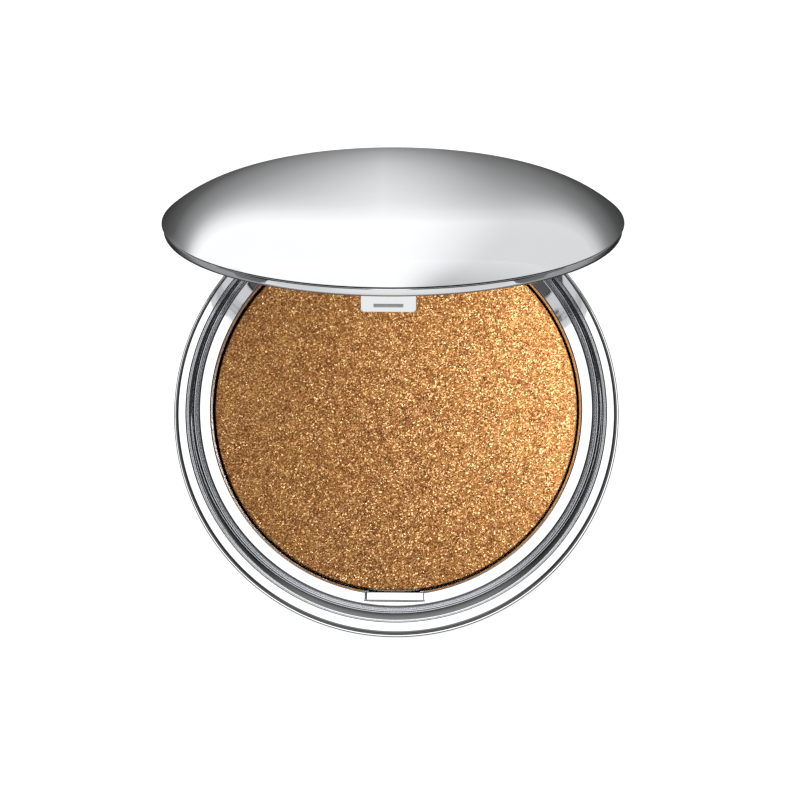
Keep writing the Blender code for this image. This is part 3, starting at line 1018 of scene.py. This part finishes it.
def build_reflected_shade_card(studio):
    """A graded dark card laid on the table, which only reflections see: painted shade for the
    table's shadow, so the plating darkens toward the case's foot and behind the lid."""
    middle, twist, flare = -3 * MM, 0.07, 0.43
    card = wide_sheet("table_card", 0.01 * MM)
    look, tree, place = new_look("painted_reflected_shade")
    axes = add(tree, "ShaderNodeSeparateXYZ", {"Vector": place})
    aside = add(tree, "ShaderNodeMath", {0: axes.outputs[0], 1: -middle}, operation="ADD")
    spread = add(tree, "ShaderNodeMath", {0: aside.outputs[0]}, operation="ABSOLUTE")
    twisted = add(
        tree,
        "ShaderNodeMath",
        {0: aside.outputs[0], 1: twist, 2: axes.outputs[1]},
        operation="MULTIPLY_ADD",
    )
    slant = add(
        tree,
        "ShaderNodeMath",
        {0: spread.outputs[0], 1: -flare, 2: twisted.outputs[0]},
        operation="MULTIPLY_ADD",
    )
    behind = add(
        tree,
        "ShaderNodeMapRange",
        {"Value": slant.outputs[0], "From Min": 20 * MM, "From Max": 90 * MM},
    )
    # painted shade: dark near the case's foot and behind the lid, white further out, seen only in
    # reflections
    fade = add(
        tree,
        "ShaderNodeValToRGB",
        {"Fac": behind.outputs[0]},
        stops=[(0, 0.03), (0.24, 0.1), (0.46, 0.27), (0.56, 0.4), (0.68, 0.64), (0.8, 0.84), (1, 1)],
    )
    ahead = add(tree, "ShaderNodeMath", {0: axes.outputs[1], 1: 20 * MM}, operation="MAXIMUM")
    bearing = add(
        tree, "ShaderNodeMath", {0: axes.outputs[0], 1: ahead.outputs[0]}, operation="DIVIDE"
    )
    # painted shade: reflections to the right of the case are darkened to 0.7
    right = add(
        tree,
        "ShaderNodeMapRange",
        {"Value": bearing.outputs[0], "From Min": 0.0, "From Max": 0.3, "To Min": 1.0, "To Max": 0.7},
        interpolation_type="SMOOTHSTEP",
    )
    graded = add(
        tree,
        "ShaderNodeVectorMath",
        {0: fade.outputs[0], 1: right.outputs[0]},
        operation="MULTIPLY",
    )
    distance = add(tree, "ShaderNodeVectorMath", {0: place}, operation="LENGTH")
    far = add(
        tree,
        "ShaderNodeMapRange",
        {"Value": distance.outputs["Value"], "From Min": 60 * MM, "From Max": 170 * MM, "To Max": 0.3},
        interpolation_type="SMOOTHSTEP",
    )
    clear = add(
        tree,
        "ShaderNodeVectorMath",
        {0: graded.outputs[0], 1: far.outputs[0]},
        operation="MAXIMUM",
    )
    # the card darkens the table that reflections see, a painted shadow that the camera never sees
    shader = add(tree, "ShaderNodeBsdfTransparent", {"Color": clear.outputs[0]})
    add(tree, "ShaderNodeOutputMaterial", {"Surface": shader.outputs[0]})
    card.data.materials.append(look)
    card.visible_camera = False
    card.visible_diffuse = False
    card.visible_shadow = False
    card.visible_transmission = False


def build_tent(studio):
    """A white tent as the world: bright overhead and behind, a grey front, and black flags low at
    each side, which draw the dark lines in the plating."""
    world = bpy.data.worlds.new("white_tent")
    bpy.context.scene.world = world
    world.use_nodes = True
    tree = world.node_tree
    tree.nodes.clear()
    direction = add(tree, "ShaderNodeTexCoord").outputs["Generated"]
    axes = add(tree, "ShaderNodeSeparateXYZ", {"Vector": direction})
    height = axes.outputs[2]
    left_back = add(tree, "ShaderNodeValToRGB", {"Fac": height}, stops=[(0.0, 0.8), (0.6, 0.76)])
    right_back = add(
        tree, "ShaderNodeValToRGB", {"Fac": height}, stops=[(0.0, 0.56), (0.2, 0.5), (0.6, 0.33)]
    )
    bearing = add(tree, "ShaderNodeMath", {0: axes.outputs[0], 1: axes.outputs[1]}, operation="DIVIDE")
    rightness = add(
        tree,
        "ShaderNodeMapRange",
        {"Value": bearing.outputs[0], "From Min": 0.0, "From Max": 0.3},
        interpolation_type="SMOOTHSTEP",
    )
    back = add(
        tree,
        "ShaderNodeMix",
        {"Factor": rightness.outputs[0], 6: left_back.outputs[0], 7: right_back.outputs[0]},
        data_type="RGBA",
    )
    front = add(
        tree,
        "ShaderNodeValToRGB",
        {"Fac": height},
        stops=[(0.0, 0.12), (0.26, 0.09), (0.36, 0.02), (0.65, 0.07), (0.95, 0.18)],
    )
    sides = add(
        tree,
        "ShaderNodeValToRGB",
        {"Fac": height},
        stops=[(0.0, 0.12), (0.26, 0.09), (0.36, 0.01), (0.65, 0.01), (0.9, 0.04)],
    )
    level = add(tree, "ShaderNodeMath", {0: height, 1: 0.001}, operation="MAXIMUM")
    width = add(tree, "ShaderNodeMath", {0: axes.outputs[0]}, operation="ABSOLUTE")
    across = add(tree, "ShaderNodeMath", {0: width.outputs[0], 1: level.outputs[0]}, operation="DIVIDE")
    along = add(tree, "ShaderNodeMath", {0: axes.outputs[1], 1: level.outputs[0]}, operation="DIVIDE")
    depth = add(tree, "ShaderNodeMath", {0: axes.outputs[1]}, operation="ABSOLUTE")
    aside = add(tree, "ShaderNodeMath", {0: width.outputs[0], 1: depth.outputs[0]}, operation="SUBTRACT")
    fades = {}
    for name, place, start, end in (
        ("front", axes.outputs[1], 0.05, -0.2),
        ("side", aside.outputs[0], -0.25, 0.05),
        ("width", across.outputs[0], 0.2, 0.11),
        ("near end", along.outputs[0], -0.17, -0.04),
        ("far end", along.outputs[0], 1.2, 0.6),
    ):
        fades[name] = add(
            tree,
            "ShaderNodeMapRange",
            {"Value": place, "From Min": start, "From Max": end},
            interpolation_type="SMOOTHSTEP",
        ).outputs[0]
    softbox = fades["width"]
    for side in (fades["near end"], fades["far end"]):
        softbox = add(tree, "ShaderNodeMath", {0: softbox, 1: side}, operation="MULTIPLY").outputs[0]
    tent = back.outputs[2]
    for share, colour in (
        (fades["front"], front.outputs[0]),
        (fades["side"], sides.outputs[0]),
        (softbox, (1, 1, 1, 1)),
    ):
        layer = add(tree, "ShaderNodeMix", {"Factor": share, 6: tent, 7: colour}, data_type="RGBA")
        tent = layer.outputs[2]
    lit = add(
        tree, "ShaderNodeBackground", {"Color": tent, "Strength": studio.ceiling}
    )
    plain = add(tree, "ShaderNodeBackground", {"Color": (0.93, 0.93, 0.93, 1), "Strength": 1.0})
    rays = add(tree, "ShaderNodeLightPath")
    shown = add(
        tree,
        "ShaderNodeMixShader",
        {0: rays.outputs["Is Camera Ray"], 1: lit.outputs[0], 2: plain.outputs[0]},
    )
    add(tree, "ShaderNodeOutputWorld", {"Surface": shown.outputs[0]})


def add_light(name, power, size, place, aim, pieces):
    """A soft light that faces a point and lights only some pieces; its numbers are in millimetres."""
    data = bpy.data.lights.new(name, "AREA")
    data.shape = "RECTANGLE"
    data.size, data.size_y = size[0] * MM, size[1] * MM
    data.energy = power
    light = bpy.data.objects.new(name, data)
    bpy.context.scene.collection.objects.link(light)
    light.location = Vector(place) * MM
    light.visible_camera = False
    lit = bpy.data.collections.new(name + "_lit")
    for piece in pieces:
        lit.objects.link(bpy.data.objects[piece])
    light.light_linking.receiver_collection = lit
    light.rotation_mode = "QUATERNION"
    light.rotation_quaternion = (Vector(aim) - Vector(place)).to_track_quat("-Z", "Y")


def build_camera(studio):
    """A long lens almost straight above the base, tipped a little to the front."""
    tip, lean, roll = radians(4.0), radians(1.2), radians(0.45)
    back = Vector((sin(lean), -sin(tip) * cos(lean), cos(tip) * cos(lean)))
    right = Vector((0, 1, 0)).cross(back).normalized()
    up = back.cross(right)
    aside, above = 0.624 * MM, 2.445 * MM
    target = Vector((0, 0, SHELL_TOP)) + right * aside + up * above
    turned_right = right * cos(roll) + up * sin(roll)
    turned_up = back.cross(turned_right)
    data = bpy.data.cameras.new("camera")
    data.lens = studio.lens
    data.sensor_width = 36.0
    data.clip_start = 0.01
    data.clip_end = 20.0
    camera = bpy.data.objects.new("camera", data)
    bpy.context.scene.collection.objects.link(camera)
    turn = Matrix((turned_right, turned_up, back)).transposed().to_4x4()
    camera.matrix_world = Matrix.Translation(target + back * studio.distance) @ turn
    bpy.context.scene.camera = camera


# ---- operators and panel


class COMPACT_OT_base_case(bpy.types.Operator):
    """Outer bowl with its foot and hinge ears"""

    bl_idname = "compact.base_case"
    bl_label = "Base Case"
    bl_options = {"REGISTER", "UNDO"}

    def execute(self, context):
        build_base_case(context.scene)
        return {"FINISHED"}


class COMPACT_OT_base_rings(bpy.types.Operator):
    """Bright rings, well and latch notch"""

    bl_idname = "compact.base_rings"
    bl_label = "Base Rings"
    bl_options = {"REGISTER", "UNDO"}

    def execute(self, context):
        build_base_rings(context.scene)
        return {"FINISHED"}


class COMPACT_OT_pan(bpy.types.Operator):
    """Stamped pan under the powder"""

    bl_idname = "compact.pan"
    bl_label = "Powder Pan"
    bl_options = {"REGISTER", "UNDO"}

    def execute(self, context):
        build_pan(context.scene)
        return {"FINISHED"}


class COMPACT_OT_powder(bpy.types.Operator):
    """Pressed powder cake"""

    bl_idname = "compact.powder"
    bl_label = "Pressed Powder"
    bl_options = {"REGISTER", "UNDO"}

    def execute(self, context):
        build_powder(context.scene)
        return {"FINISHED"}


class COMPACT_OT_lid_cover(bpy.types.Operator):
    """Domed cover of the lid"""

    bl_idname = "compact.lid_cover"
    bl_label = "Lid Cover"
    bl_options = {"REGISTER", "UNDO"}

    def execute(self, context):
        build_lid_cover(context.scene)
        return {"FINISHED"}


class COMPACT_OT_lid_rim(bpy.types.Operator):
    """Rim band, mirror seat and hinge arm"""

    bl_idname = "compact.lid_rim"
    bl_label = "Lid Rim"
    bl_options = {"REGISTER", "UNDO"}

    def execute(self, context):
        build_lid_rim(context.scene)
        return {"FINISHED"}


class COMPACT_OT_mirror(bpy.types.Operator):
    """Round mirror"""

    bl_idname = "compact.mirror"
    bl_label = "Mirror"
    bl_options = {"REGISTER", "UNDO"}

    def execute(self, context):
        build_mirror(context.scene)
        return {"FINISHED"}


class COMPACT_OT_tongue(bpy.types.Operator):
    """Latch tongue with its snap ridge"""

    bl_idname = "compact.tongue"
    bl_label = "Latch Tongue"
    bl_options = {"REGISTER", "UNDO"}

    def execute(self, context):
        build_tongue(context.scene)
        return {"FINISHED"}


class COMPACT_OT_pin(bpy.types.Operator):
    """Hinge pin"""

    bl_idname = "compact.pin"
    bl_label = "Hinge Pin"
    bl_options = {"REGISTER", "UNDO"}

    def execute(self, context):
        build_pin(context.scene)
        return {"FINISHED"}


class COMPACT_OT_label(bpy.types.Operator):
    """Blank underside label"""

    bl_idname = "compact.label"
    bl_label = "Underside Label"
    bl_options = {"REGISTER", "UNDO"}

    def execute(self, context):
        build_label(context.scene)
        return {"FINISHED"}


class COMPACT_OT_layers(bpy.types.Operator):
    """Glue spot and mirror film"""

    bl_idname = "compact.layers"
    bl_label = "Glue and Film"
    bl_options = {"REGISTER", "UNDO"}

    def execute(self, context):
        dress_layers(context.scene)
        return {"FINISHED"}


class COMPACT_OT_stage(bpy.types.Operator):
    """Floor, tent, lights and camera"""

    bl_idname = "compact.stage"
    bl_label = "Studio"
    bl_options = {"REGISTER", "UNDO"}

    def execute(self, context):
        studio = context.scene.compact_studio
        context.scene.view_settings.view_transform = "Standard"
        build_floor(studio)
        build_reflected_shade_card(studio)
        build_tent(studio)
        powder, latch = ["powder_cake"], ["snap_tongue", "lid_rim"]
        add_light("side_key", studio.key_power, (50, 50), (62, 22, 47), (10, 0, 8), powder)
        add_light("top_fill", studio.fill_power, (40, 40), (-20, 12, 44), (-18, 2, 0), powder)
        add_light("front_card", studio.card_power, (2000, 800), (0, -440, 420), (0, 15, 75), latch)
        build_camera(studio)
        return {"FINISHED"}


STEPS = (
    COMPACT_OT_base_case,
    COMPACT_OT_base_rings,
    COMPACT_OT_pan,
    COMPACT_OT_powder,
    COMPACT_OT_lid_cover,
    COMPACT_OT_lid_rim,
    COMPACT_OT_mirror,
    COMPACT_OT_tongue,
    COMPACT_OT_pin,
    COMPACT_OT_label,
    COMPACT_OT_layers,
    COMPACT_OT_stage,
)
SETTINGS = {
    "compact_shape": CompactShape,
    "compact_powder": CompactPowder,
    "compact_finish": CompactFinish,
    "compact_studio": CompactStudio,
}


class COMPACT_PT_build(bpy.types.Panel):
    """Lists the compact's build steps and settings"""

    bl_idname = "COMPACT_PT_build"
    bl_label = "Powder Compact"
    bl_space_type = "VIEW_3D"
    bl_region_type = "UI"
    bl_category = "Compact"

    def draw(self, context):
        for step in STEPS:
            self.layout.operator(step.bl_idname)
        for name, group in SETTINGS.items():
            box = self.layout.box()
            for setting in group.__annotations__:
                box.prop(getattr(context.scene, name), setting)


def register():
    for group in SETTINGS.values():
        bpy.utils.register_class(group)
    for step in STEPS:
        bpy.utils.register_class(step)
    bpy.utils.register_class(COMPACT_PT_build)
    for name, group in SETTINGS.items():
        setattr(bpy.types.Scene, name, bpy.props.PointerProperty(type=group))


def unregister():
    for name in SETTINGS:
        delattr(bpy.types.Scene, name)
    bpy.utils.unregister_class(COMPACT_PT_build)
    for step in reversed(STEPS):
        bpy.utils.unregister_class(step)
    for group in reversed(SETTINGS.values()):
        bpy.utils.unregister_class(group)


def main():
    register()
    bpy.ops.compact.base_case()
    bpy.ops.compact.base_rings()
    bpy.ops.compact.pan()
    bpy.ops.compact.powder()
    bpy.ops.compact.lid_cover()
    bpy.ops.compact.lid_rim()
    bpy.ops.compact.mirror()
    bpy.ops.compact.tongue()
    bpy.ops.compact.pin()
    bpy.ops.compact.label()
    bpy.ops.compact.layers()
    bpy.ops.compact.stage()


if __name__ == "__main__":
    main()
